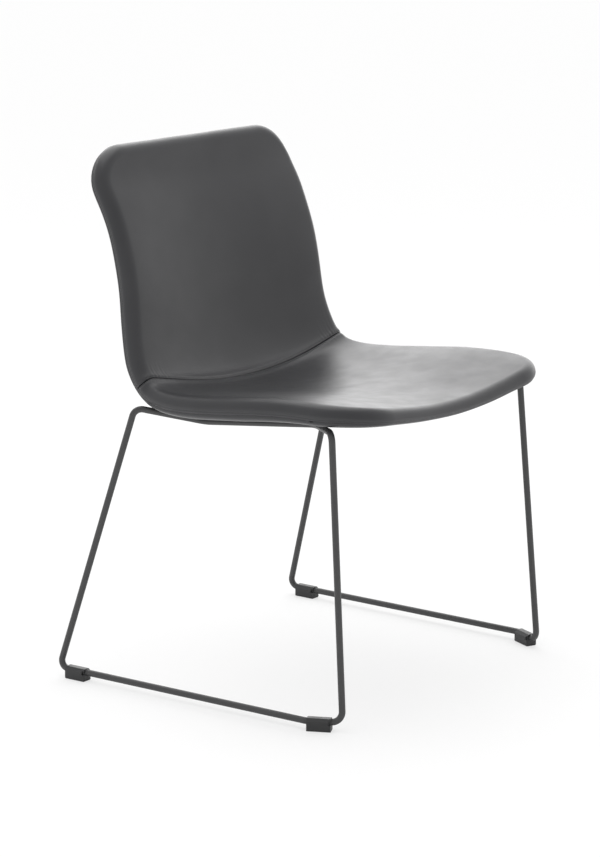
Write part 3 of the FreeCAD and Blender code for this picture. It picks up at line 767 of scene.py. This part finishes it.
def make_floor():
    """Plain white floor, partly glowing for the camera, so that it fades into the ground."""
    bpy.ops.mesh.primitive_plane_add(size=30, location=(0, 0, -FLOOR_DROP))
    floor = bpy.context.object
    floor.name = "floor"
    made, link, shader, node = material("floor")
    shader.inputs["Base Color"].default_value = (0.97, 0.97, 0.97, 1)
    shader.inputs["Roughness"].default_value = 0.9
    shader.inputs["Specular IOR Level"].default_value = 0.0
    glow = node("ShaderNodeEmission", Color=(1, 1, 1, 1), Strength=1.0)
    path = node("ShaderNodeLightPath")
    share = node("ShaderNodeMath", operation="MULTIPLY")
    share.inputs[1].default_value = FLOOR_GLOW
    link(path.outputs["Is Camera Ray"], share.inputs[0])
    mix = node("ShaderNodeMixShader")
    link(share.outputs["Value"], mix.inputs["Fac"])
    link(shader.outputs["BSDF"], mix.inputs[1])
    link(glow.outputs["Emission"], mix.inputs[2])
    out = made.node_tree.nodes["Material Output"]
    link(mix.outputs["Shader"], out.inputs["Surface"])
    floor.data.materials.append(made)


# Directions in which the room is lightest and in which the backdrop stands, the range of
# closeness to them over which each is graded, and their brightness over that range.
ROOM_WAY = (0.806, 0.592, 0.0)
ROOM_RANGE = (-0.9, 0.95)
ROOM_TONES = [(0.0, 0.5), (0.55, 0.72), (1.0, 0.85)]
BACKDROP_WAY = (0.792, 0.582, 0.185)
BACKDROP_RANGE = (0.72, 0.97)
BACKDROP_TONES = [(0.0, 0.0), (1.0, 1.0)]
BACKDROP_STRENGTH = 1.2
ROOM_STRENGTH = 1.3


def make_world():
    """White studio: a bright backdrop behind the chair, less light from the open side."""
    world = bpy.data.worlds.new("studio")
    bpy.context.scene.world = world
    world.use_nodes = True
    tree = world.node_tree
    link = tree.links.new
    node = node_maker(tree)
    ray = node("ShaderNodeTexCoord")

    def toward(direction, span, tones):
        """Brightness graded over how closely a ray runs in the direction."""
        facing = node("ShaderNodeVectorMath", operation="DOT_PRODUCT")
        facing.inputs[1].default_value = direction
        link(ray.outputs["Generated"], facing.inputs[0])
        share = node("ShaderNodeMapRange")
        share.inputs["From Min"].default_value = span[0]
        share.inputs["From Max"].default_value = span[1]
        link(facing.outputs["Value"], share.inputs["Value"])
        tone = ramp(node, *tones)
        link(share.outputs["Result"], tone.inputs["Fac"])
        return tone.outputs["Color"]

    total = node("ShaderNodeVectorMath", operation="MULTIPLY_ADD")
    total.inputs[1].default_value = (BACKDROP_STRENGTH,) * 3
    link(toward(BACKDROP_WAY, BACKDROP_RANGE, BACKDROP_TONES), total.inputs[0])
    link(toward(ROOM_WAY, ROOM_RANGE, ROOM_TONES), total.inputs[2])
    light = tree.nodes["Background"]
    link(total.outputs["Vector"], light.inputs["Color"])
    light.inputs["Strength"].default_value = ROOM_STRENGTH
    white = node("ShaderNodeBackground", Color=(1, 1, 1, 1), Strength=1.0)
    path = node("ShaderNodeLightPath")
    mix = node("ShaderNodeMixShader")
    link(path.outputs["Is Camera Ray"], mix.inputs["Fac"])
    link(light.outputs["Background"], mix.inputs[1])
    link(white.outputs["Background"], mix.inputs[2])
    link(mix.outputs["Shader"], tree.nodes["World Output"].inputs["Surface"])


def make_overhead(place, target, size, power):
    """Large soft lamp over the chair."""
    lamp = bpy.data.lights.new("overhead", "AREA")
    lamp.shape = "SQUARE"
    lamp.size = size
    lamp.energy = power
    holder = bpy.data.objects.new("overhead", lamp)
    holder.location = place
    aim = Vector(target) - Vector(place)
    holder.rotation_euler = aim.to_track_quat("-Z", "Y").to_euler()
    bpy.context.scene.collection.objects.link(holder)


CAMERA_PLACE = (-3.55357, -2.61038, 1.32552)
CAMERA_RIGHT = Vector((0.59635, -0.80272, 0.0))
CAMERA_UP = Vector((0.16912, 0.12563, 0.97756))
LENS = 121.897


def make_camera():
    """Camera at the photograph's place and angle."""
    lens = bpy.data.cameras.new("camera")
    lens.sensor_fit = "AUTO"
    lens.sensor_width = 36.0
    lens.lens = LENS
    holder = bpy.data.objects.new("camera", lens)
    backward = CAMERA_RIGHT.cross(CAMERA_UP)
    turn = Matrix((CAMERA_RIGHT, CAMERA_UP, backward)).transposed().to_4x4()
    holder.matrix_world = Matrix.Translation(CAMERA_PLACE) @ turn
    bpy.context.scene.collection.objects.link(holder)
    bpy.context.scene.camera = holder


make_floor()
make_world()
make_overhead((0.4, 0.8, 3.4), (0, 0, 0.4), 3.0, 35)
make_camera()
bpy.context.scene.view_settings.view_transform = "Standard"
